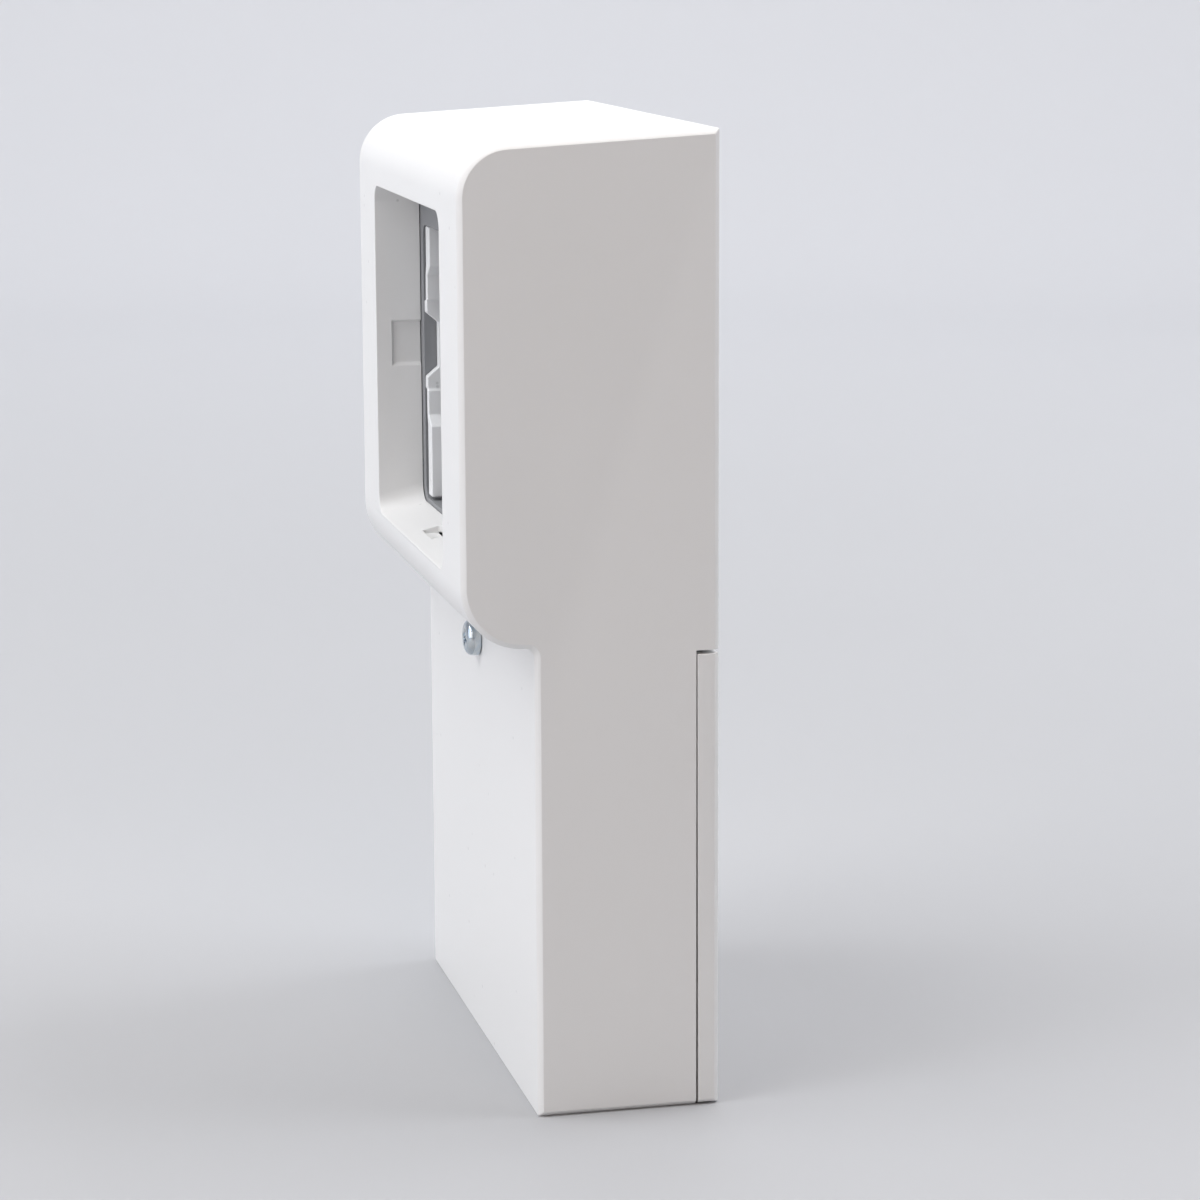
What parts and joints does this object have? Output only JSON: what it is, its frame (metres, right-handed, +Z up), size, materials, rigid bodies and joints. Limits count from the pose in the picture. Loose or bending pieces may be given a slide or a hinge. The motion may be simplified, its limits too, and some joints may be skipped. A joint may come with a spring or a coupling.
{
  "type": "ev charging post",
  "caption": "Compact white charging post: deep head with a recessed, lidded socket bay above a shallower column with a service cover.",
  "frame": {"origin": "centre of the footprint box, on the floor", "axes": "+Z up, -Y to the front with the window, +X to the right seen from the front"},
  "size_m": [0.1766, 0.0804, 0.304],
  "materials": {
    "white_plastic": "fine moulded satin",
    "galvanised_steel": "galvanised sheet",
    "zinc_plated_steel": "blue passivated zinc",
    "black_plastic": "moulded satin",
    "rubber": "matt",
    "brass": "turned",
    "dark_grey_plastic": "moulded satin",
    "light_lens": "frosted light guide",
    "circuit_board": "solder mask",
    "light_grey_plastic": "moulded satin",
    "silver_contact": "silver plated",
    "spring_steel": "drawn wire",
    "component_blue": "moulded",
    "lever_orange": "moulded"
  },
  "bodies": {
    "enclosure": {"shell": "white_plastic", "back_plate": "galvanised_steel", "base_plate": "galvanised_steel", "back_screw_1": "zinc_plated_steel", "back_screw_2": "zinc_plated_steel", "back_screw_3": "zinc_plated_steel", "back_screw_4": "zinc_plated_steel", "gland_body": "black_plastic", "gland_seal": "rubber", "screw_insert": "brass", "bay_panel": "dark_grey_plastic", "panel_screw_1": "zinc_plated_steel", "panel_screw_2": "zinc_plated_steel", "panel_screw_3": "zinc_plated_steel", "panel_screw_4": "zinc_plated_steel", "status_lens": "light_lens", "light_board": "circuit_board", "bay_cradle": "light_grey_plastic", "socket_body": "black_plastic", "socket_core": "black_plastic", "contact_pe": "silver_contact", "contact_l1": "silver_contact", "contact_n": "silver_contact", "contact_l2": "silver_contact", "contact_l3": "silver_contact", "contact_cp": "silver_contact", "contact_pp": "silver_contact", "lid_pin": "spring_steel", "lid_spring": "spring_steel", "lock_actuator": "black_plastic", "power_board": "circuit_board", "relay_1": "component_blue", "relay_2": "component_blue", "current_sensor": "black_plastic", "power_supply": "black_plastic", "terminal_block": "light_grey_plastic", "selector_base": "black_plastic", "button_base": "black_plastic", "controller_board": "circuit_board", "processor_can": "galvanised_steel", "radio_module": "component_blue"},
    "rear_cover_body": {"rear_cover": "white_plastic"},
    "gland_nut_body": {"gland_nut": "black_plastic"},
    "column_screw_body": {"column_screw": "zinc_plated_steel"},
    "lid_body": {"lid": "dark_grey_plastic", "lid_seal": "rubber"},
    "lock_bolt_body": {"lock_bolt": "zinc_plated_steel"},
    "lock_pinion_body": {"lock_pinion": "brass"},
    "lever_body_1": {"terminal_lever_1": "lever_orange"},
    "lever_body_2": {"terminal_lever_2": "lever_orange"},
    "lever_body_3": {"terminal_lever_3": "lever_orange"},
    "lever_body_4": {"terminal_lever_4": "lever_orange"},
    "lever_body_5": {"terminal_lever_5": "lever_orange"},
    "selector_body": {"selector_knob": "light_grey_plastic"},
    "button_body": {"service_button": "lever_orange"}
  },
  "joints": [
    {"name": "rear_cover_swing", "type": "hinge", "parent": "enclosure", "child": "rear_cover_body", "pos_m": [0, 0.04015, 0.14485], "axis": [1, 0, 0], "range_deg": [0, 35]},
    {"name": "lid_open", "type": "hinge", "parent": "enclosure", "child": "lid_body", "pos_m": [0, -0.0169, 0.2584], "axis": [-1, 0, 0], "range_deg": [0, 105], "stiffness_Nm_per_rad": 0.02, "springref_deg": -45.84},
    {"name": "column_screw_turn", "type": "hinge", "parent": "enclosure", "child": "column_screw_body", "pos_m": [0, -0.01775, 0.135], "axis": [0, -1, 0], "continuous": true},
    {"name": "gland_nut_turn", "type": "hinge", "parent": "enclosure", "child": "gland_nut_body", "pos_m": [0, 0.0091, 0.0177], "axis": [0, 0, 1], "continuous": true},
    {"name": "lock_pinion_turn", "type": "hinge", "parent": "enclosure", "child": "lock_pinion_body", "pos_m": [0.0073, 0.0005, 0.26938], "axis": [0, -1, 0], "range_deg": [0, 78]},
    {"name": "lock_bolt_slide", "type": "slide", "parent": "enclosure", "child": "lock_bolt_body", "axis": [0, 0, -1], "range_m": [0, 0.0055]},
    {"name": "terminal_lever_1_lift", "type": "hinge", "parent": "enclosure", "child": "lever_body_1", "pos_m": [-0.05045, 0.00995, 0.0515], "axis": [1, 0, 0], "range_deg": [0, 85]},
    {"name": "terminal_lever_2_lift", "type": "hinge", "parent": "enclosure", "child": "lever_body_2", "pos_m": [-0.03886, 0.00995, 0.0515], "axis": [1, 0, 0], "range_deg": [0, 85]},
    {"name": "terminal_lever_3_lift", "type": "hinge", "parent": "enclosure", "child": "lever_body_3", "pos_m": [-0.02728, 0.00995, 0.0515], "axis": [1, 0, 0], "range_deg": [0, 85]},
    {"name": "terminal_lever_4_lift", "type": "hinge", "parent": "enclosure", "child": "lever_body_4", "pos_m": [-0.01569, 0.00995, 0.0515], "axis": [1, 0, 0], "range_deg": [0, 85]},
    {"name": "terminal_lever_5_lift", "type": "hinge", "parent": "enclosure", "child": "lever_body_5", "pos_m": [-0.00411, 0.00995, 0.0515], "axis": [1, 0, 0], "range_deg": [0, 85]},
    {"name": "selector_turn", "type": "hinge", "parent": "enclosure", "child": "selector_body", "pos_m": [-0.04924, -0.00355, 0.065], "axis": [0, 1, 0], "range_deg": [0, 270]},
    {"name": "service_button_press", "type": "slide", "parent": "enclosure", "child": "button_body", "axis": [0, -1, 0], "range_m": [0, 0.0012], "stiffness_N_per_m": 300, "springref_m": -0.001}
  ],
  "couplings": [
    {"joint": "lock_pinion_turn", "follows": "lock_bolt_slide", "rad_per_m": 246.91}
  ]
}
